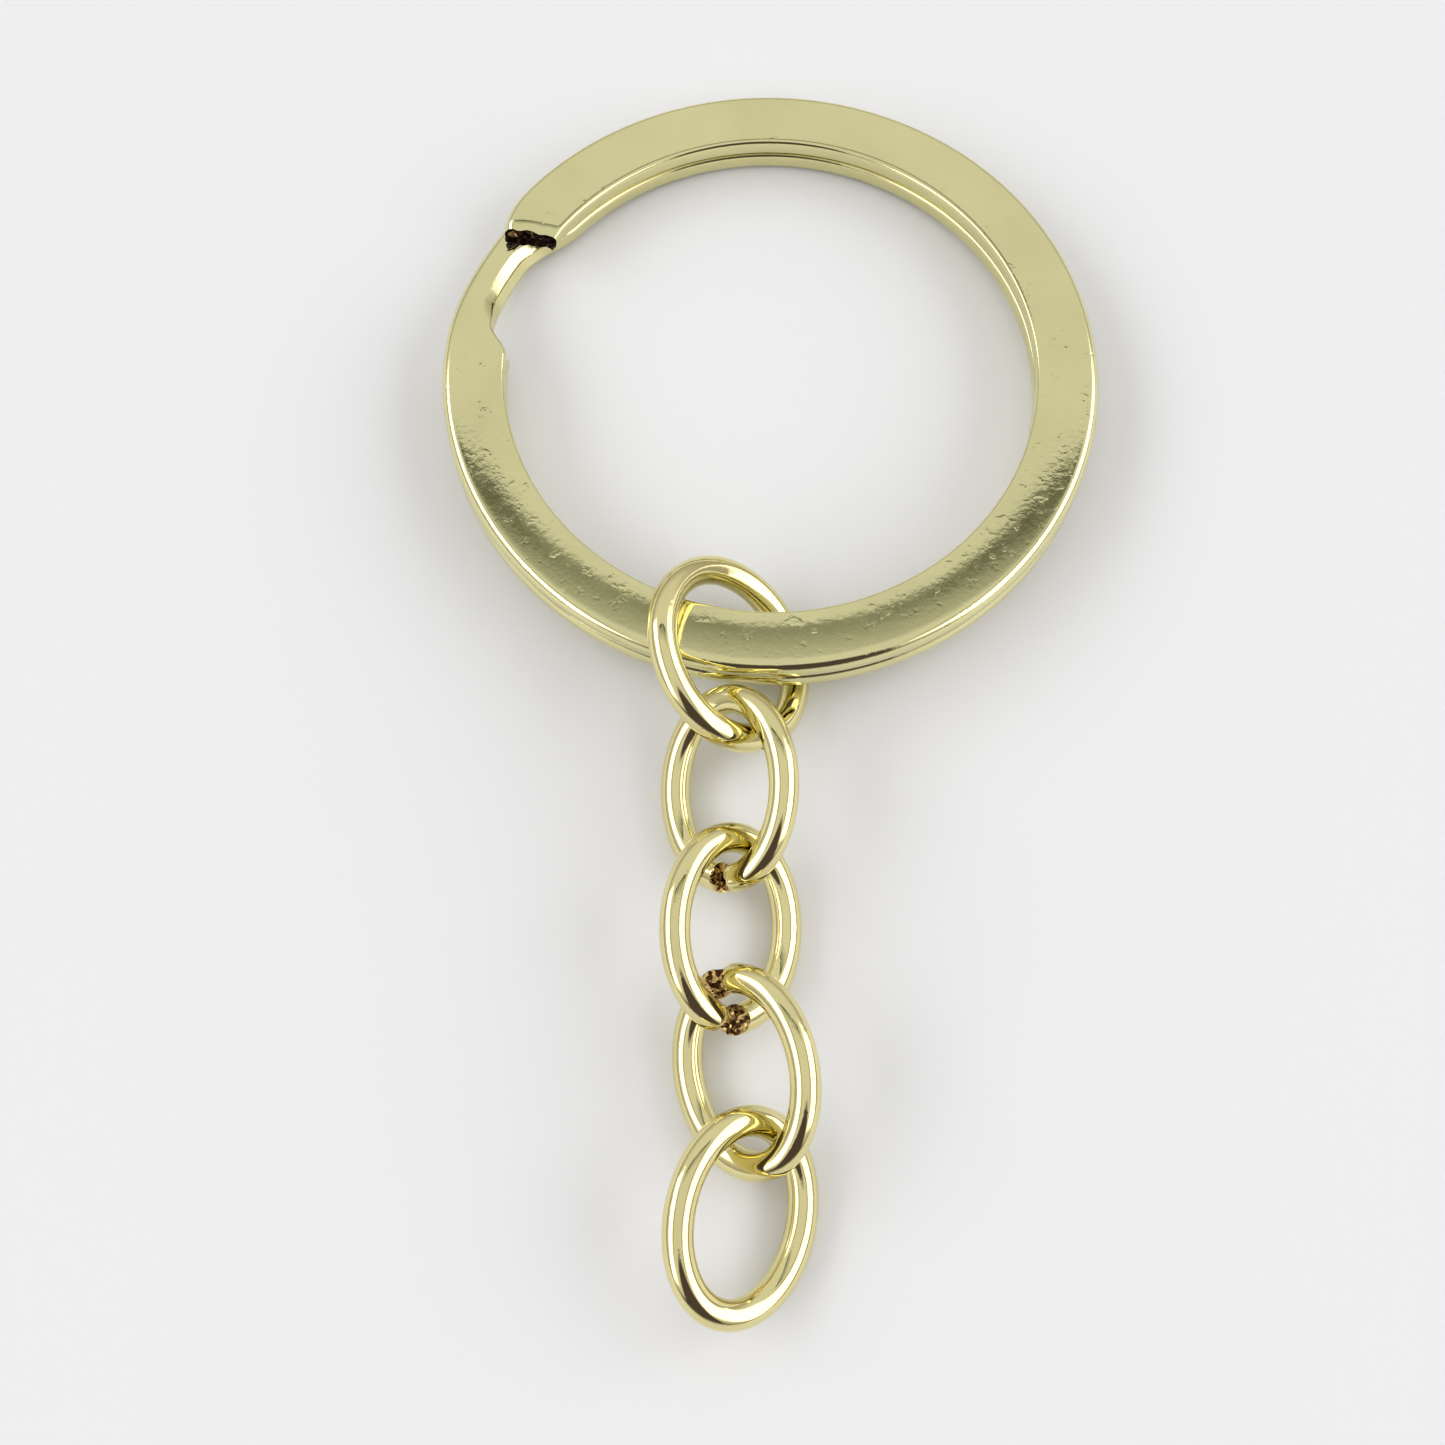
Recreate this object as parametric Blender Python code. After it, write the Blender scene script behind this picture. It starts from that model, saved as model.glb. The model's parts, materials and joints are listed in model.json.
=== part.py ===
"""Split key ring: a flat-strip split ring with a short chain of open oval links.

The ring is one flat strip wound into two turns. Its upper free end springs open to take a key, so the
strip is modelled as two pieces that meet at the root of the springing half turn. The chain is five round
wire ovals, each cut through once and hooked through its neighbour. Ring and chain lie on z = 0 with the
chain pointing to -Y, and the first link passes under the ring and props up its near side.
"""
import math

import bpy
from mathutils import Matrix, Vector

MM = 0.001

# Driving dimensions of the ring
RING_OUTER_RADIUS = 15.0 * MM
STRIP_WIDTH = 2.84 * MM
STRIP_THICKNESS = 0.95 * MM
TURN_GAP = 0.11 * MM
STRIP_CHAMFER = 0.12 * MM
RING_TILT = math.radians(3.4)

# Places along the strip, in degrees round the ring from +X. The strip runs clockwise from its upper free
# end, so each place further along it has a lower angle.
TURN = 360.0
UPPER_END = 147.0
CROSSOVER_START = 173.0 - TURN
CROSSOVER_END = 149.0 - TURN
LOWER_END = 175.0 - 2 * TURN
SPRINGING_ARC = 180.0
ROOT_CUT = 0.9
STRIP_STEP = 4.0

# Driving dimensions of the chain
WIRE_RADIUS = 0.665 * MM
LINK_HALF_LENGTH = 3.88 * MM
LINK_HALF_WIDTH = 2.90 * MM
FIRST_LINK_HALF_WIDTH = 3.70 * MM
LINK_CUT = 0.45 * MM
POINTS_PER_LINK = 44
WIRE_BEVEL_RESOLUTION = 2

# How each link lies: its middle from the ring's middle (mm); then, in degrees, its turn about Z, its rise
# towards the ring, its lean (positive with its right side up) and where round the oval its wire is cut
LINKS = (
    {"middle": (-1.85, -13.80), "turn": 15, "rise": 6, "lean": -39, "cut": -85},
    {"middle": (-1.92, -19.71), "turn": 1.5, "rise": 6, "lean": 37, "cut": -93},
    {"middle": (-1.80, -25.75), "turn": -5, "rise": 0, "lean": -36, "cut": -91},
    {"middle": (-1.25, -31.80), "turn": 13, "rise": 0, "lean": 37, "cut": 86},
    {"middle": (-1.42, -37.61), "turn": -13, "rise": 0, "lean": -32, "cut": 66},
)

STRIP_COLOUR = (0.72, 0.63, 0.33, 1.0)
WIRE_COLOUR = (0.80, 0.68, 0.36, 1.0)
STRIP_ROUGHNESS = 0.32
WIRE_ROUGHNESS = 0.16


def clear_scene():
    for old in list(bpy.data.objects):
        bpy.data.objects.remove(old, do_unlink=True)


def new_collection(name):
    collection = bpy.data.collections.new(name)
    bpy.context.scene.collection.children.link(collection)
    return collection


def gold(name, colour, roughness):
    material = bpy.data.materials.new(name)
    material.use_nodes = True
    shader = material.node_tree.nodes["Principled BSDF"]
    shader.inputs["Base Color"].default_value = colour
    shader.inputs["Metallic"].default_value = 1.0
    shader.inputs["Roughness"].default_value = roughness
    return material


def add_empty(name, collection, parent, matrix):
    """An empty that carries pieces. Its matrix is in its parent's space."""
    empty = bpy.data.objects.new(name, None)
    empty.empty_display_size = 2 * MM
    empty.parent = parent
    empty.matrix_basis = matrix
    collection.objects.link(empty)
    return empty


def poly_curve(name, points, cyclic=False):
    curve = bpy.data.curves.new(name, "CURVE")
    curve.dimensions = "3D"
    spline = curve.splines.new("POLY")
    spline.points.add(len(points) - 1)
    for point, place in zip(spline.points, points):
        point.co = (*place, 1.0)
    spline.use_cyclic_u = cyclic
    return curve


# ---- the ring ----

def strip_section(collection):
    """The strip's cross-section, a rectangle with its four corners cut off, as a guide for the sweep."""
    x, y, c = STRIP_WIDTH / 2, STRIP_THICKNESS / 2, STRIP_CHAMFER
    right = [(x - c, y), (x, y - c), (x, c - y), (x - c, -y)]
    left = [(-px, -py) for px, py in right]
    corners = right + left
    curve = poly_curve("strip_section", [(px, py, 0.0) for px, py in corners], cyclic=True)
    guide = bpy.data.objects.new("strip_section", curve)
    guide.hide_render = True
    guide.display_type = "WIRE"
    collection.objects.link(guide)
    return guide


def strip_height(angle):
    """Height of the strip's middle above the ring's underside: upper turn, crossover, lower turn."""
    lower = STRIP_THICKNESS / 2
    rise = STRIP_THICKNESS + TURN_GAP
    down = (CROSSOVER_START - angle) / (CROSSOVER_START - CROSSOVER_END)
    down = min(max(down, 0.0), 1.0)
    return lower + rise * (1.0 - down * down * (3.0 - 2.0 * down))


def strip_points(start, end):
    """Points of the strip's centre line in the ring's own frame, clockwise from start to end."""
    count = round((start - end) / STRIP_STEP)
    radius = RING_OUTER_RADIUS - STRIP_WIDTH / 2
    points = []
    for i in range(count + 1):
        angle = start + (end - start) * i / count
        turned = math.radians(angle)
        points.append(Vector((radius * math.cos(turned), radius * math.sin(turned), strip_height(angle))))
    return points


def add_strip(name, start, end, section, parent, origin, collection):
    """A length of strip whose object origin is at the given place in the ring's frame."""
    curve = poly_curve(name, [point - origin for point in strip_points(start, end)])
    curve.bevel_mode = "OBJECT"
    curve.bevel_object = section
    curve.twist_mode = "Z_UP"
    curve.use_fill_caps = True
    curve.materials.append(gold(name + "_gold", STRIP_COLOUR, STRIP_ROUGHNESS))
    strip = bpy.data.objects.new(name, curve)
    strip.parent = parent
    collection.objects.link(strip)
    return strip


def add_ring(root, parts, guides):
    """The two-turn ring, tilted so that its far edge stays on the ground. Returns its frame."""
    middle_height = RING_OUTER_RADIUS * math.sin(RING_TILT)
    tilt = Matrix.Translation((0, 0, middle_height)) @ Matrix.Rotation(-RING_TILT, 4, "X")
    ring_frame = add_empty("ring_frame", parts, root, tilt)
    section = strip_section(guides)
    spring_root = UPPER_END - SPRINGING_ARC
    add_strip("ring_coil", spring_root - ROOT_CUT, LOWER_END, section, ring_frame, Vector(), parts)

    # The springing half turn lifts about the tangent line at its root, on the ring's outer edge and
    # between the two turns. The empty's X is that line.
    turned = math.radians(spring_root)
    outward = Vector((math.cos(turned), math.sin(turned), 0))
    hinge = outward * RING_OUTER_RADIUS + Vector((0, 0, STRIP_THICKNESS + TURN_GAP / 2))
    axis = Matrix.Translation(hinge) @ Matrix.Rotation(turned - math.pi / 2, 4, "Z")
    opening = add_empty("ring_opening_axis", parts, ring_frame, axis)
    free_end = add_strip("ring_free_end", UPPER_END, spring_root, section, opening, hinge, parts)
    free_end.matrix_basis = Matrix.Rotation(math.pi / 2 - turned, 4, "Z")
    return ring_frame


# ---- the chain ----

def oval_point(half_width, angle):
    return Vector((half_width * math.cos(angle), LINK_HALF_LENGTH * math.sin(angle), 0.0))


def link_points(half_width, cut):
    """The wire's centre line, from one face of the cut round to the other, in the link's own plane."""
    speed = math.hypot(half_width * math.sin(cut), LINK_HALF_LENGTH * math.cos(cut))
    half_cut = LINK_CUT / 2 / speed
    sweep = 2 * math.pi - 2 * half_cut
    last = POINTS_PER_LINK - 1
    return [oval_point(half_width, cut + half_cut + sweep * i / last) for i in range(POINTS_PER_LINK)]


def link_rotation(link):
    turn = Matrix.Rotation(math.radians(link["turn"]), 4, "Z")
    rise = Matrix.Rotation(math.radians(link["rise"]), 4, "X")
    lean = Matrix.Rotation(-math.radians(link["lean"]), 4, "Y")
    return turn @ rise @ lean


def height_on_ground(rotation, half_width):
    """Height of a link's middle when the lowest point of its wire touches z = 0."""
    lowest = 0.0
    steps = 360
    for i in range(steps):
        angle = 2 * math.pi * i / steps
        point = rotation @ oval_point(half_width, angle)
        tangent = rotation @ Vector((-half_width * math.sin(angle), LINK_HALF_LENGTH * math.cos(angle), 0.0))
        reach = WIRE_RADIUS * math.sqrt(1.0 - tangent.normalized().z ** 2)
        lowest = min(lowest, point.z - reach)
    return -lowest


def add_link(number, link, parent, in_parent, collection):
    """One link, whose matrix in_parent places its middle."""
    name = f"link_{number}"
    half_width = FIRST_LINK_HALF_WIDTH if number == 1 else LINK_HALF_WIDTH
    curve = poly_curve(name, link_points(half_width, math.radians(link["cut"])))
    curve.bevel_depth = WIRE_RADIUS
    curve.bevel_resolution = WIRE_BEVEL_RESOLUTION
    curve.use_fill_caps = True
    curve.materials.append(gold(name + "_gold", WIRE_COLOUR, WIRE_ROUGHNESS))
    piece = bpy.data.objects.new(name, curve)
    piece.parent = parent
    piece.matrix_basis = in_parent
    collection.objects.link(piece)
    return piece


def add_chain(root, ring_frame, parts):
    """Each link hangs on an empty that stands on its joint: the ring's axis for the first link, and the
    wire at the near end of the link before it for each of the others, with X along that wire."""
    carrier = add_empty("link_1_axis", parts, root, ring_frame.matrix_basis.copy())
    carrier_place = ring_frame.matrix_basis.copy()
    for number, link in enumerate(LINKS, start=1):
        half_width = FIRST_LINK_HALF_WIDTH if number == 1 else LINK_HALF_WIDTH
        rotation = link_rotation(link)
        x, y = link["middle"]
        middle = Vector((x * MM, y * MM, height_on_ground(rotation, half_width)))
        place = Matrix.Translation(middle) @ rotation
        piece = add_link(number, link, carrier, carrier_place.inverted() @ place, parts)
        if number < len(LINKS):
            near_end = Matrix.Translation((0, -LINK_HALF_LENGTH, 0))
            carrier = add_empty(f"link_{number + 1}_hinge", parts, piece, near_end)
            carrier_place = place @ near_end


def stand_on_origin(root, parts):
    """Moves everything so that the middle of the underside of its box is the origin."""
    bpy.context.view_layer.update()
    depsgraph = bpy.context.evaluated_depsgraph_get()
    corners = []
    for piece in parts.objects:
        if piece.type == "EMPTY":
            continue
        mesh = bpy.data.meshes.new_from_object(piece.evaluated_get(depsgraph))
        corners += [piece.matrix_world @ vertex.co for vertex in mesh.vertices]
        bpy.data.meshes.remove(mesh)
    low = [min(corner[axis] for corner in corners) for axis in range(3)]
    high = [max(corner[axis] for corner in corners) for axis in range(3)]
    root.location -= Vector(((low[0] + high[0]) / 2, (low[1] + high[1]) / 2, low[2]))


def main():
    clear_scene()
    parts = new_collection("split_key_ring")
    guides = new_collection("guides")
    root = add_empty("key_ring", parts, None, Matrix())
    ring_frame = add_ring(root, parts, guides)
    add_chain(root, ring_frame, parts)
    stand_on_origin(root, parts)


main()
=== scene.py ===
"""Looks of the split key ring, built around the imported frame: the flat-strip ring and its five wire links."""
import json
import math

import bmesh
import bpy
import numpy as np
from mathutils import Matrix, Vector
from mathutils.noise import cell, noise


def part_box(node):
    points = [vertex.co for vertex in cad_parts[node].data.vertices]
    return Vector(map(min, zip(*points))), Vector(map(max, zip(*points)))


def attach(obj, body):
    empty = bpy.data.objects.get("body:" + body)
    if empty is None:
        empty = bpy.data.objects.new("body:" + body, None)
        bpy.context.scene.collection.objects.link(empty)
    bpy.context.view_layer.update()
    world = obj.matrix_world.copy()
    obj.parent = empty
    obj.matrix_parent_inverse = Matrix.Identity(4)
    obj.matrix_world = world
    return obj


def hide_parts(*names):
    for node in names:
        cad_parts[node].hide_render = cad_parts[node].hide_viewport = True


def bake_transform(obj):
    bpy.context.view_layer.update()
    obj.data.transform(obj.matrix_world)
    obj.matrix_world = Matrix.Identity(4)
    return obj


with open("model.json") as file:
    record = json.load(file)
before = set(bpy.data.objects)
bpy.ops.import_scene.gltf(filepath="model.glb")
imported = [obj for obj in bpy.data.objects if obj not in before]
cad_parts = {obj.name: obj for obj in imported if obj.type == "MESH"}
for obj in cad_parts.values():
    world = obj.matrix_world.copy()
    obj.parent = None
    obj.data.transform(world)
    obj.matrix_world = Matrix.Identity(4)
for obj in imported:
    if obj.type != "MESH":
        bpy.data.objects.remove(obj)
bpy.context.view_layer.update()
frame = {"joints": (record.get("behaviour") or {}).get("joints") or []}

MM = 0.001
JOINTS = {joint["name"]: joint for joint in frame["joints"]}

# ---- the ring's place and size, from the frame ----
RING_CENTRE = Vector(JOINTS["link_1_travel"]["pos_m"])
RING_UP = -Vector(JOINTS["link_1_travel"]["axis"]).normalized()
RING_X = Vector((1.0, 0.0, 0.0))
RING_Y = RING_UP.cross(RING_X)
coil_low, coil_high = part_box("ring_coil")
RING_OUTER_RADIUS = (coil_high.x - coil_low.x) / 2

# ---- the strip ----
# Places along it are in degrees round the ring from +X, falling clockwise from the upper free end.
TURN = 360.0
UPPER_END = 147.6
LOWER_END = 175.0 - 2 * TURN
SPRING_ROOT = 147.0 - 180.0
STRIP_STEP = 1.0
STRIP_WIDTH = 2.84 * MM
STRIP_THICKNESS = 0.98 * MM
TURN_GAP = 0.05 * MM
STRIP_CROWN = 0.050 * MM
OUTER_CHAMFER = Vector((0.21 * MM, 0.36 * MM))
OUTER_EDGE = 0.7 * MM
OUTER_FILLET = 0.42 * MM
INNER_FILLET = 0.18 * MM
INNER_EDGE = 0.3 * MM
CORNER_STEPS = 4

# The crossover, where the upper turn comes down to be the lower one: the strip is pressed narrower from
# inside and its inner corner is flattened. Each change is eased, from the place where it begins or to the
# place where it ends, over an arc. These places are written with one turn added.
DESCENT_FROM, DESCENT_ARC = 177.0, 30.0
PINCH_FROM, PINCH_ARC = 176.5, 7.0
UNPINCH_TO, UNPINCH_ARC = 138.0, 14.0
BEVEL_FROM, BEVEL_ARC = 170.0, 8.0
UNBEVEL_TO, UNBEVEL_ARC = 142.0, 6.0
PINCH = 0.88 * MM
BEVEL_WIDTH = 0.52 * MM
BEVEL_SLOPE = math.radians(33)
WALL_LEAN = 0.30 * MM
WALL_FOOT = 0.4

# The sheared upper end, over the last degrees of the strip: its slant (degrees per metre across the strip),
# rounded outer corner, rolled top edge and ragged outline
END_SLANT, END_SLANT_ARC = 1.7 / MM, 14.0
END_CORNER, END_CORNER_ARC = 0.50 * MM, 8.5
END_ROLL, END_ROLL_ARC = 0.13 * MM, 2.6
END_RAGGED, END_RAGGED_ARC, END_RAGGED_GRAIN = 0.7, 1.6, 0.4 * MM

# ---- the links, as part.py lays them, in wire a little thinner so that they swing clear ----
WIRE_RADIUS = 0.65 * MM
LINK_HALF_LENGTH = 3.88 * MM
LINK_HALF_WIDTH = 2.90 * MM
FIRST_LINK_HALF_WIDTH = 3.70 * MM
LINK_CUT = 0.45 * MM
LINK_STEPS = 180
WIRE_SIDES = 32
# Degrees, as in part.py; then how far (mm) the cut slants back at each end, at the wire's upper side or, if
# negative, at its underside. The wire's rings lean towards a slanted cut over SLANT_REACH of the way round.
LINKS = (
    {"turn": 15, "rise": 6, "lean": -39, "cut": -85, "slants": (0.6, -0.3)},
    {"turn": 1.5, "rise": 6, "lean": 37, "cut": -93, "slants": (0.1, 0.3)},
    {"turn": -5, "rise": 0, "lean": -36, "cut": -91, "slants": (0.8, -0.7)},
    {"turn": 13, "rise": 0, "lean": 37, "cut": 86, "slants": (0.8, -0.4)},
    {"turn": -13, "rise": 0, "lean": -32, "cut": 66, "slants": (0.3, 0.3)},
)
SLANT_REACH = 0.09

# ---- the breaks at the cut ends ----
# A cap's rings, as shares of its outline. Its roughness is blocks with finer noise on them, each with its
# share of the height. WIRE_RIDGE is the direction in which a nipped end's two slopes fall from their ridge.
CAP_RINGS = (0.97, 0.86, 0.68, 0.46, 0.22)
BLOCK_SHARE, NOISE_SHARE, NOISE_FINENESS = 0.7, 0.6, 0.6
STRIP_BREAK_LEAN = 0.34 * MM
STRIP_BREAK_GRAIN, STRIP_BREAK_HEIGHT = 0.32 * MM, 0.12 * MM
WIRE_BREAK_RIDGE = 0.10 * MM
WIRE_RIDGE = Vector((0.3, 0.2, 0.93)).normalized()
WIRE_BREAK_GRAIN, WIRE_BREAK_HEIGHT = 0.26 * MM, 0.13 * MM
# edges that turn by more than this many degrees stay sharp
STRIP_CREASE, WIRE_CREASE = 40.0, 50.0

# ---- materials ----
# where a colour Mix node keeps its two colours and its result
MIX_FIRST, MIX_SECOND, MIX_RESULT = 6, 7, 2
STRIP_GOLD = (0.76, 0.71, 0.375)
WIRE_GOLD = (0.80, 0.72, 0.36)
STRIP_ROUGHNESS, STRIP_PITS = 0.07, 0.003 * MM
WIRE_ROUGHNESS, WIRE_PITS = 0.05, 0.0015 * MM
# each noise is (scale to the metre, detail); the ranges multiply the colour and the roughness
TINT_NOISE, POLISH_NOISE = (260.0, 3.0), (900.0, 4.0)
FINE_NOISE, PIT_NOISE = (4200.0, 3.0), (1800.0, 2.0)
DARKER_TINT, LIGHTER_TINT = 0.95, 1.04
SHINIEST, DULLEST = 0.75, 1.4
PIT_DEPTH, PITS_FROM, PITS_TO = 1.2, 0.60, 0.72
# the cut ends' colours are painted light: the near-black facets are painted shade, and the bright facets among
# them are painted glints
STRIP_BREAK_PAINTED_SHADE, STRIP_BREAK_PAINTED_GLINT = (0.015, 0.007, 0.006), (0.34, 0.24, 0.12)
STRIP_FACET, STRIP_GLINT_FROM = 0.30 * MM, 0.72
WIRE_BREAK_PAINTED_SHADE, WIRE_BREAK_PAINTED_GLINT = (0.07, 0.03, 0.01), (0.78, 0.56, 0.22)
WIRE_FACET, WIRE_GLINT_FROM = 0.20 * MM, 0.5
BREAK_ROUGHNESS = 0.30
BREAK_SOFTNESS = 0.15
BREAK_DEPTH = 0.35
FLOOR_COLOUR = (0.80, 0.80, 0.81)
FLOOR_ROUGHNESS = 0.6
FLOOR_SIZE = 2.0
FLOOR_DROP = 0.02 * MM

# ---- the light tent, as radiance by direction ----
TENT = (0.80, 0.80, 0.80)
TENT_LOW = (0.46, 0.43, 0.40)
LEFT_LAMP = (3.0, 3.0, 3.0)
RIGHT_LAMP = (2.6, 2.6, 2.6)
LAMP_SEAM = (0.52, 0.50, 0.46)
DIM_PANEL = (0.26, 0.28, 0.24)
DIM_CORNERS = (0.10, 0.11, 0.085)
PHOTOGRAPHER = (0.085, 0.065, 0.07)
# The zones are painted over the tent in this order. A direction's x and y are its degrees from straight up,
# towards +X and +Y; aside is x without its sign, bowed is y plus the bow of the panel's edges, and below is
# how far under the photographer's outline it lies. A zone covers by the product of its edges. Each edge is
# (measure, where it is 0, where it is 1) and is eased between them, unless it says LINEAR.
ZONES = (
    (TENT_LOW, (("from_zenith", 60, 88),)),
    (LAMP_SEAM, (("aside", 25, 29), ("aside", 35, 32), ("y", -32, -22), ("y", 24, 14))),
    (LEFT_LAMP, (("x", -36, -41), ("x", -69, -60), ("y", -58, -42), ("y", 40, 31))),
    (RIGHT_LAMP, (("x", 35, 40), ("x", 79, 71), ("y", -52, -38), ("y", 44, 32))),
    (DIM_PANEL, (("bowed", 16.5, 29.5, "LINEAR"), ("bowed", 30.8, 30.1), ("aside", 26, 19))),
    (DIM_CORNERS, (("bowed", 26, 30), ("bowed", 30.8, 30.1), ("aside", 26, 19), ("aside", 3, 8))),
    (PHOTOGRAPHER, (("below", -2, 10), ("aside", 75, 55))),
    (TENT_LOW, (("from_zenith", 81, 88),)),
)
PANEL_BOW = 0.005
OUTLINE_TOP, OUTLINE_MIDDLE, OUTLINE_SPREAD, OUTLINE_FOOT = -17.0, 6.0, 0.032, -62.0

# ---- the camera ----
SENSOR_WIDTH = 36.0
IMAGE_SIZE = 1445
FOCAL_PIXELS = 2000.0
CLIP_START, CLIP_END = 5 * MM, 10.0
CAMERA_TARGET = Vector((-2.19 * MM, RING_CENTRE.y - 16.03 * MM, 0.0))
CAMERA_ELEVATION = math.radians(73.1)
CAMERA_DISTANCE = 89.3 * MM


def mesh_object(name, vertices, faces, material):
    mesh = bpy.data.meshes.new(name)
    mesh.from_pydata([tuple(v) for v in vertices], [], faces)
    mesh.materials.append(material)
    mesh.update()
    piece = bpy.data.objects.new(name, mesh)
    bpy.context.scene.collection.objects.link(piece)
    return piece


def smooth(piece, crease):
    piece.data.shade_smooth()
    piece.data.set_sharp_from_angle(angle=math.radians(crease))


def sweep(name, rings, material, sheared, shears):
    """A closed solid through equal rings of points. Each end is a cap of shrinking rings in the second
    material; its shear gives how far a point of the cap stands out, from its offset off the middle."""
    rings = [[Vector(point) for point in ring] for ring in rings]
    sides = len(rings[0])
    vertices = [point for ring in rings for point in ring]
    faces = []
    for i in range(len(rings) - 1):
        for j in range(sides):
            a, b = i * sides + j, i * sides + (j + 1) % sides
            faces.append((a, a + sides, b + sides, b))
    sheared_from = len(faces)
    for end, inner, shear in ((0, 1, shears[0]), (len(rings) - 1, len(rings) - 2, shears[1])):
        middle = sum(rings[end], Vector()) / sides
        outward = (middle - sum(rings[inner], Vector()) / sides).normalized()
        rim = list(range(end * sides, (end + 1) * sides))
        for share in CAP_RINGS:
            ring = []
            for point in rings[end]:
                offset = (point - middle) * share
                lift = shear(middle + offset, offset, outward) if shear else 0.0
                ring.append(len(vertices))
                vertices.append(middle + offset + outward * lift)
            faces += [(rim[j], rim[(j + 1) % sides], ring[(j + 1) % sides], ring[j]) for j in range(sides)]
            rim = ring
        hub = len(vertices)
        vertices.append(middle + outward * (shear(middle, Vector(), outward) if shear else 0.0))
        faces += [(rim[j], rim[(j + 1) % sides], hub) for j in range(sides)]
    piece = mesh_object(name, vertices, faces, material)
    piece.data.materials.append(sheared)
    for number, face in enumerate(piece.data.polygons):
        face.material_index = 1 if number >= sheared_from else 0
    tidy = bmesh.new()
    tidy.from_mesh(piece.data)
    bmesh.ops.recalc_face_normals(tidy, faces=tidy.faces)
    tidy.to_mesh(piece.data)
    tidy.free()
    return piece


def roughness_of_shear(point, grain, height):
    """A crystalline break: blocky steps and fine grain, the same on every run."""
    blocks = cell(point / grain)
    return height * (BLOCK_SHARE * blocks + NOISE_SHARE * noise(point / (grain * NOISE_FINENESS)))


def strip_shear(point, offset, outward):
    """The strip's sheared end: the lower edge juts out, and the break is streaky."""
    lower = -offset.dot(RING_UP) / STRIP_THICKNESS
    return STRIP_BREAK_LEAN * lower + roughness_of_shear(point, STRIP_BREAK_GRAIN, STRIP_BREAK_HEIGHT)


# ---- the ring ----

def ease(x):
    x = min(max(x, 0.0), 1.0)
    return x * x * (3.0 - 2.0 * x)


def towards_end(angle, arc):
    """Rises from 0 at the given arc before the upper end to 1 at the end."""
    return max(0.0, (angle - UPPER_END + arc) / arc)


def strip_height(angle):
    """Height of the strip's middle above the ring's underside."""
    down = (DESCENT_FROM - TURN - angle) / DESCENT_ARC
    return STRIP_THICKNESS / 2 + (STRIP_THICKNESS + TURN_GAP) * (1.0 - ease(down))


def spline_outline(controls, steps):
    """A closed quadratic B-spline through the middles of the control polygon's edges."""
    outline = []
    count = len(controls)
    for i in range(count):
        before, corner, after = controls[i - 1], controls[i], controls[(i + 1) % count]
        start = [(p + q) / 2 for p, q in zip(before, corner)]
        end = [(p + q) / 2 for p, q in zip(corner, after)]
        for k in range(steps):
            t = k / steps
            outline.append(tuple(
                (1 - t) ** 2 * p + 2 * t * (1 - t) * q + t * t * r for p, q, r in zip(start, corner, end)
            ))
    return outline


def strip_section(angle):
    """The strip's cross-section, (outward, up) in metres: crowned faces and rounded edges. In the crossover
    the inner edge steps back and its upper corner is a broad slope over a leaning wall."""
    half_width, half = STRIP_WIDTH / 2, STRIP_THICKNESS / 2
    place = angle + TURN
    pinch = PINCH * ease((PINCH_FROM - place) / PINCH_ARC) * ease((place - UNPINCH_TO) / UNPINCH_ARC)
    bevel = ease((BEVEL_FROM - place) / BEVEL_ARC) * ease((place - UNBEVEL_TO) / UNBEVEL_ARC)
    outer = half_width - END_CORNER * towards_end(angle, END_CORNER_ARC) ** 2
    inner = pinch - half_width

    # the inner edge's control points, from the face down, as a rounded corner and as the bevel over its wall
    soft, wall, width = 2 * INNER_FILLET, WALL_LEAN, BEVEL_WIDTH
    drop = BEVEL_WIDTH * math.tan(BEVEL_SLOPE)
    square = [(soft + INNER_EDGE, half), (soft + INNER_EDGE / 2, half), (soft, half), (0.0, half), (0.0, 0.0)]
    sloped = [
        (wall + width + INNER_EDGE, half),
        (wall + width, half),
        (wall + width / 2, half - drop / 2),
        (wall, half - drop),
        (wall / 2, -half * WALL_FOOT),
    ]
    controls = [
        (outer, 0.0),
        (outer, half - OUTER_CHAMFER.y),
        (outer - OUTER_CHAMFER.x, half),
        (outer - OUTER_EDGE, half),
    ]
    for (u0, v0), (u1, v1) in zip(square, sloped):
        controls.append((inner + u0 + (u1 - u0) * bevel, v0 + (v1 - v0) * bevel))
    controls += [(inner, -half), (inner + soft, -half), (outer - 2 * OUTER_FILLET, -half), (outer, -half)]

    roll = towards_end(angle, END_ROLL_ARC) ** 2 * END_ROLL
    shaped = []
    for u, v in spline_outline(controls, CORNER_STEPS):
        v -= STRIP_CROWN * (u / half_width) ** 2 * (v / half)
        shaped.append((u, v - roll * (v + half) / STRIP_THICKNESS))
    return shaped


def ring_place(angle, outward, up):
    """A point of the ring. Towards the upper end, the strip's sections slant with its sheared edge, and the
    last ones are ragged."""
    slanting = ease(towards_end(angle, END_SLANT_ARC))
    ragged = ease(towards_end(angle, END_RAGGED_ARC))
    ragged *= END_RAGGED * noise(Vector((outward, up, 0.0)) / END_RAGGED_GRAIN)
    turned = math.radians(angle + END_SLANT * outward * slanting + ragged)
    radius = RING_OUTER_RADIUS - STRIP_WIDTH / 2 + outward
    flat = RING_X * (radius * math.cos(turned)) + RING_Y * (radius * math.sin(turned))
    return RING_CENTRE + flat + RING_UP * up


def strip_rings(start, end):
    count = round((start - end) / STRIP_STEP)
    rings = []
    for i in range(count + 1):
        angle = start + (end - start) * i / count
        height = strip_height(angle)
        rings.append([ring_place(angle, u, height + v) for u, v in strip_section(angle)])
    return rings


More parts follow.
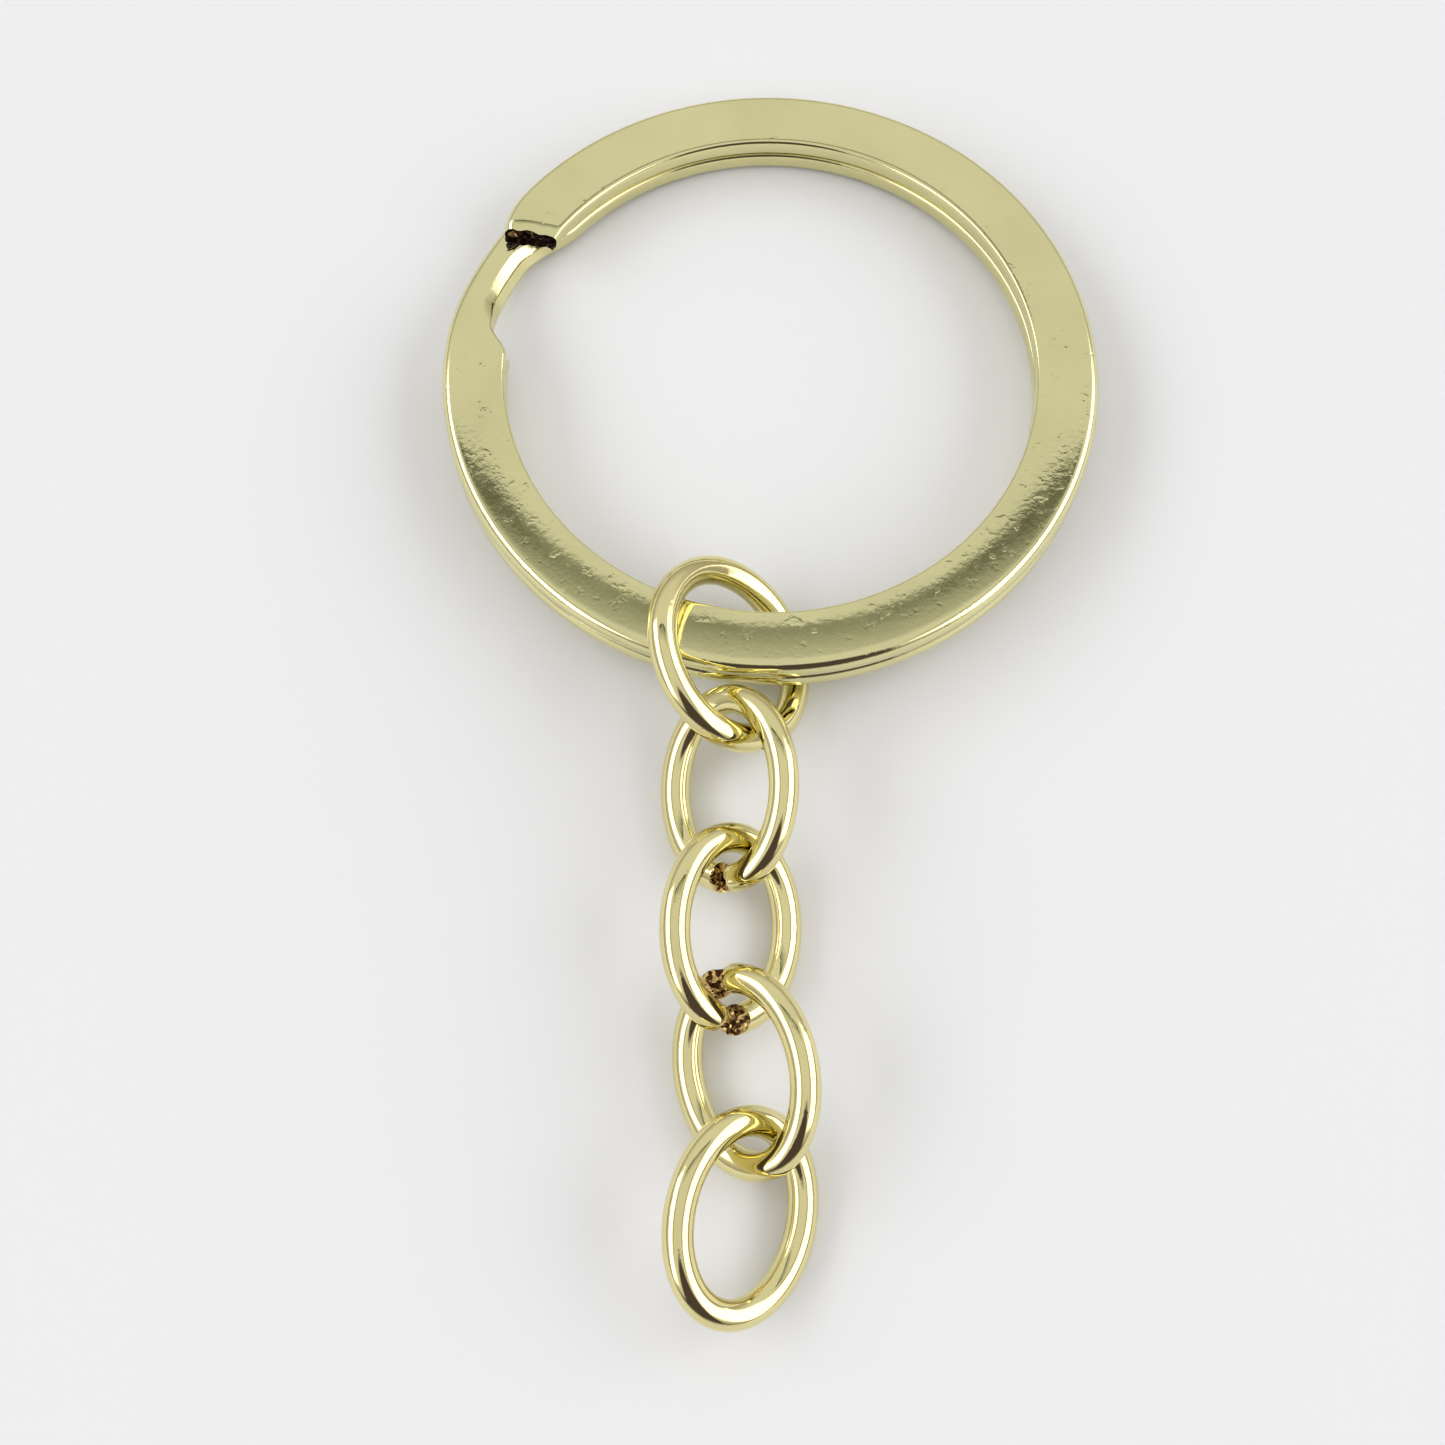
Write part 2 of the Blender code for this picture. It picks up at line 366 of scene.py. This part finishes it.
def make_ring(gold, sheared):
    fixed = strip_rings(SPRING_ROOT, LOWER_END)
    coil = sweep("ring_coil_strip", fixed, gold, sheared, (None, strip_shear))
    smooth(coil, STRIP_CREASE)
    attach(coil, "ring")
    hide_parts("ring_coil")

    springing = strip_rings(UPPER_END, SPRING_ROOT)
    free = sweep("ring_free_end_strip", springing, gold, sheared, (strip_shear, None))
    smooth(free, STRIP_CREASE)
    # the points at the springing half turn's root and tip, in the middle of the strip a strip's thickness up;
    # the half turn keeps its swept shape and is baked in place
    root = ring_place(SPRING_ROOT, 0.0, STRIP_THICKNESS)
    tip = ring_place(UPPER_END, 0.0, STRIP_THICKNESS)
    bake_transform(free)
    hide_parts("ring_free_end")


# ---- the links ----

def link_rotation(link):
    turn = Matrix.Rotation(math.radians(link["turn"]), 3, "Z")
    rise = Matrix.Rotation(math.radians(link["rise"]), 3, "X")
    lean = Matrix.Rotation(-math.radians(link["lean"]), 3, "Y")
    return turn @ rise @ lean


def slant_back(slant, upness):
    """How far back from its end a slanted cut sets a point of the wire; upness is -1 below and 1 above."""
    return abs(slant) * MM * (1.0 + (upness if slant > 0 else -upness)) / 2


def wire_point(half_width, angle, around):
    """A point of the wire's surface in the link's own plane: where round the oval, and round the wire."""
    middle = Vector((half_width * math.cos(angle), LINK_HALF_LENGTH * math.sin(angle), 0.0))
    tangent = Vector((-half_width * math.sin(angle), LINK_HALF_LENGTH * math.cos(angle), 0.0)).normalized()
    outward = Vector((tangent.y, -tangent.x, 0.0))
    side = outward * math.cos(around) + Vector((0.0, 0.0, math.sin(around)))
    return middle + side * WIRE_RADIUS, side


def wire_rings(half_width, cut, slants, up):
    """Rings of wire round the oval, from one face of the cut to the other, in the link's own plane. Near
    the cut the rings lean over towards its slanted faces."""
    speed = math.hypot(half_width * math.sin(cut), LINK_HALF_LENGTH * math.cos(cut))
    half_cut = LINK_CUT / 2 / speed
    rings = []
    for i in range(LINK_STEPS + 1):
        share = i / LINK_STEPS
        angle = cut + half_cut + (2 * math.pi - 2 * half_cut) * share
        starting = max(0.0, 1.0 - share / SLANT_REACH) ** 2
        ending = max(0.0, 1.0 - (1.0 - share) / SLANT_REACH) ** 2
        ring = []
        for j in range(WIRE_SIDES):
            around = 2 * math.pi * j / WIRE_SIDES
            upness = wire_point(half_width, angle, around)[1].dot(up)
            back = starting * slant_back(slants[0], upness) - ending * slant_back(slants[1], upness)
            ring.append(wire_point(half_width, angle + back / speed, around)[0])
        rings.append(ring)
    return rings


def wire_shear(point, offset, outward):
    """A nipped wire's end: two rough slopes that meet in a ridge across the wire."""
    ridge = 1.0 - abs(offset.dot(WIRE_RIDGE)) / WIRE_RADIUS
    return WIRE_BREAK_RIDGE * ridge + roughness_of_shear(point, WIRE_BREAK_GRAIN, WIRE_BREAK_HEIGHT)


def make_link(number, link, gold, sheared):
    """One link, placed by the middle of its node's box."""
    node = f"link_{number}"
    half_width = FIRST_LINK_HALF_WIDTH if number == 1 else LINK_HALF_WIDTH
    rotation = link_rotation(link)
    up = rotation.transposed() @ Vector((0.0, 0.0, 1.0))
    flat_rings = wire_rings(half_width, math.radians(link["cut"]), link["slants"], up)
    rings = [[rotation @ point for point in ring] for ring in flat_rings]
    points = np.array(rings).reshape(-1, 3)
    low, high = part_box(node)
    place = (low + high) / 2 - Vector((points.min(axis=0) + points.max(axis=0)) / 2)
    rings = [[point + place for point in ring] for ring in rings]
    piece = sweep(f"{node}_wire", rings, gold, sheared, (wire_shear, wire_shear))
    smooth(piece, WIRE_CREASE)
    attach(piece, node)
    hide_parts(node)


# ---- materials ----

def gold_material(name, colour, roughness, pits):
    """Plated gold with slightly uneven colour and polish, a fine grain and scattered pits. pits is the
    height of the unevenness in metres."""
    material = bpy.data.materials.new(name)
    material.use_nodes = True
    nodes, wires = material.node_tree.nodes, material.node_tree.links
    shader = nodes["Principled BSDF"]
    shader.inputs["Metallic"].default_value = 1.0
    place = nodes.new("ShaderNodeTexCoord").outputs["Object"]

    def grain(scale, detail):
        texture = nodes.new("ShaderNodeTexNoise")
        texture.inputs["Scale"].default_value = scale
        texture.inputs["Detail"].default_value = detail
        wires.new(place, texture.inputs["Vector"])
        return texture.outputs["Fac"]

    def spread(value, low, high, start=0.3, end=0.7):
        node = nodes.new("ShaderNodeMapRange")
        wires.new(value, node.inputs["Value"])
        for socket, number in zip(node.inputs[1:5], (start, end, low, high)):
            socket.default_value = number
        return node.outputs["Result"]

    tint = nodes.new("ShaderNodeMix")
    tint.data_type = "RGBA"
    wires.new(spread(grain(*TINT_NOISE), 0.0, 1.0), tint.inputs["Factor"])
    tint.inputs[MIX_FIRST].default_value = (*[c * DARKER_TINT for c in colour], 1.0)
    tint.inputs[MIX_SECOND].default_value = (*[c * LIGHTER_TINT for c in colour], 1.0)
    wires.new(tint.outputs[MIX_RESULT], shader.inputs["Base Color"])
    polish = spread(grain(*POLISH_NOISE), roughness * SHINIEST, roughness * DULLEST)
    wires.new(polish, shader.inputs["Roughness"])

    heights = nodes.new("ShaderNodeMath")
    heights.operation = "ADD"
    wires.new(grain(*FINE_NOISE), heights.inputs[0])
    wires.new(spread(grain(*PIT_NOISE), 0.0, -PIT_DEPTH, PITS_FROM, PITS_TO), heights.inputs[1])
    bump = nodes.new("ShaderNodeBump")
    bump.inputs["Distance"].default_value = pits
    wires.new(heights.outputs[0], bump.inputs["Height"])
    wires.new(bump.outputs["Normal"], shader.inputs["Normal"])
    return material


def sheared_material(name, dark, bright, facet, bright_from):
    """The bare break where strip or wire was cut off, coloured with painted light: dark facets of the given
    size, in metres, as painted shade, and bright ones among them as painted glints, where a facet's random
    value is above bright_from."""
    material = bpy.data.materials.new(name)
    material.use_nodes = True
    nodes, wires = material.node_tree.nodes, material.node_tree.links
    shader = nodes["Principled BSDF"]
    shader.inputs["Metallic"].default_value = 1.0
    shader.inputs["Roughness"].default_value = BREAK_ROUGHNESS
    place = nodes.new("ShaderNodeTexCoord").outputs["Object"]
    texture = nodes.new("ShaderNodeTexVoronoi")
    texture.inputs["Scale"].default_value = 1.0 / facet
    wires.new(place, texture.inputs["Vector"])
    random_value = nodes.new("ShaderNodeSeparateColor")
    wires.new(texture.outputs["Color"], random_value.inputs[0])
    chosen = nodes.new("ShaderNodeMapRange")
    wires.new(random_value.outputs[0], chosen.inputs["Value"])
    chosen.inputs["From Min"].default_value = bright_from - BREAK_SOFTNESS
    chosen.inputs["From Max"].default_value = bright_from + BREAK_SOFTNESS
    # painted light: each facet takes the painted shade colour or the painted glint colour
    tint = nodes.new("ShaderNodeMix")
    tint.data_type = "RGBA"
    wires.new(chosen.outputs["Result"], tint.inputs["Factor"])
    tint.inputs[MIX_FIRST].default_value = (*dark, 1.0)
    tint.inputs[MIX_SECOND].default_value = (*bright, 1.0)
    wires.new(tint.outputs[MIX_RESULT], shader.inputs["Base Color"])
    bump = nodes.new("ShaderNodeBump")
    bump.inputs["Distance"].default_value = facet * BREAK_DEPTH
    wires.new(texture.outputs["Distance"], bump.inputs["Height"])
    wires.new(bump.outputs["Normal"], shader.inputs["Normal"])
    return material


def floor_material():
    material = bpy.data.materials.new("pale_table")
    material.use_nodes = True
    shader = material.node_tree.nodes["Principled BSDF"]
    shader.inputs["Base Color"].default_value = (*FLOOR_COLOUR, 1.0)
    shader.inputs["Roughness"].default_value = FLOOR_ROUGHNESS
    return material


# ---- the studio ----

def make_floor():
    bpy.ops.mesh.primitive_plane_add(size=FLOOR_SIZE, location=(0, 0, -FLOOR_DROP))
    floor = bpy.context.object
    floor.name = "table_top"
    floor.data.materials.append(floor_material())


def make_world():
    """A bright tent with a long lamp on each side, a dim panel beyond the zenith and the dark outline of
    the photographer in its -Y opening, as ZONES gives them."""
    world = bpy.data.worlds.new("light_tent")
    bpy.context.scene.world = world
    world.use_nodes = True
    nodes, wires = world.node_tree.nodes, world.node_tree.links

    def maths(operation, *values):
        node = nodes.new("ShaderNodeMath")
        node.operation = operation
        for socket, value in zip(node.inputs, values):
            if isinstance(value, (int, float)):
                socket.default_value = value
            else:
                wires.new(value, socket)
        return node.outputs[0]

    def ramp(value, start, end, interpolation="SMOOTHSTEP"):
        """0 at start and 1 at end; start may be above end."""
        node = nodes.new("ShaderNodeMapRange")
        node.interpolation_type = interpolation
        node.clamp = True
        wires.new(value, node.inputs["Value"])
        node.inputs["From Min"].default_value = min(start, end)
        node.inputs["From Max"].default_value = max(start, end)
        node.inputs["To Min"].default_value = 0.0 if start < end else 1.0
        node.inputs["To Max"].default_value = 1.0 if start < end else 0.0
        return node.outputs["Result"]

    def within(masks):
        total = masks[0]
        for mask in masks[1:]:
            total = maths("MULTIPLY", total, mask)
        return total

    def paint(under, colour, mask):
        node = nodes.new("ShaderNodeMix")
        node.data_type = "RGBA"
        wires.new(mask, node.inputs["Factor"])
        lower, upper = node.inputs[MIX_FIRST], node.inputs[MIX_SECOND]
        if isinstance(under, tuple):
            lower.default_value = (*under, 1.0)
        else:
            wires.new(under, lower)
        upper.default_value = (*colour, 1.0)
        return node.outputs[MIX_RESULT]

    direction = nodes.new("ShaderNodeTexCoord").outputs["Generated"]
    axes = nodes.new("ShaderNodeSeparateXYZ")
    wires.new(direction, axes.inputs[0])
    east, north, up = axes.outputs
    from_zenith = maths("MULTIPLY", maths("ARCCOSINE", up), 180.0 / math.pi)
    level = maths("SQRT", maths("ADD", maths("MULTIPLY", east, east), maths("MULTIPLY", north, north)))
    stretch = maths("DIVIDE", from_zenith, level)
    x = maths("MULTIPLY", east, stretch)
    y = maths("MULTIPLY", north, stretch)
    bow = maths("MULTIPLY", PANEL_BOW, maths("MULTIPLY", x, x))
    # the photographer's outline has a rounded top, and spreads out below
    shifted = maths("SUBTRACT", x, OUTLINE_MIDDLE)
    fall = maths("MULTIPLY", OUTLINE_SPREAD, maths("MULTIPLY", shifted, shifted))
    outline = maths("MAXIMUM", maths("SUBTRACT", OUTLINE_TOP, fall), OUTLINE_FOOT)
    measures = {
        "x": x,
        "y": y,
        "from_zenith": from_zenith,
        "aside": maths("ABSOLUTE", x),
        "bowed": maths("ADD", y, bow),
        "below": maths("SUBTRACT", outline, y),
    }

    sky = TENT
    for colour, edges in ZONES:
        masks = [ramp(measures[measure], *edge) for measure, *edge in edges]
        sky = paint(sky, colour, within(masks))
    background = nodes["Background"]
    wires.new(sky, background.inputs["Color"])
    background.inputs["Strength"].default_value = 1.0


def make_camera():
    data = bpy.data.cameras.new("camera")
    data.sensor_width = SENSOR_WIDTH
    data.lens = FOCAL_PIXELS * SENSOR_WIDTH / IMAGE_SIZE
    data.clip_start = CLIP_START
    data.clip_end = CLIP_END
    camera = bpy.data.objects.new("camera", data)
    bpy.context.scene.collection.objects.link(camera)
    back = Vector((0.0, -math.cos(CAMERA_ELEVATION), math.sin(CAMERA_ELEVATION)))
    camera.location = CAMERA_TARGET + back * CAMERA_DISTANCE
    camera.rotation_euler = back.to_track_quat("Z", "Y").to_euler()
    bpy.context.scene.camera = camera


def main():
    bpy.context.scene.view_settings.view_transform = "Standard"
    strip_gold = gold_material("satin_gold_strip", STRIP_GOLD, STRIP_ROUGHNESS, STRIP_PITS)
    wire_gold = gold_material("polished_gold_wire", WIRE_GOLD, WIRE_ROUGHNESS, WIRE_PITS)
    # the breaks' materials hold painted shade and painted glints
    strip_break = sheared_material(
        "sheared_strip_painted_light", STRIP_BREAK_PAINTED_SHADE, STRIP_BREAK_PAINTED_GLINT, STRIP_FACET, STRIP_GLINT_FROM
    )
    wire_break = sheared_material(
        "sheared_wire_painted_light", WIRE_BREAK_PAINTED_SHADE, WIRE_BREAK_PAINTED_GLINT, WIRE_FACET, WIRE_GLINT_FROM
    )
    make_ring(strip_gold, strip_break)
    for number, link in enumerate(LINKS, start=1):
        make_link(number, link, wire_gold, wire_break)
    make_floor()
    make_world()
    make_camera()


main()
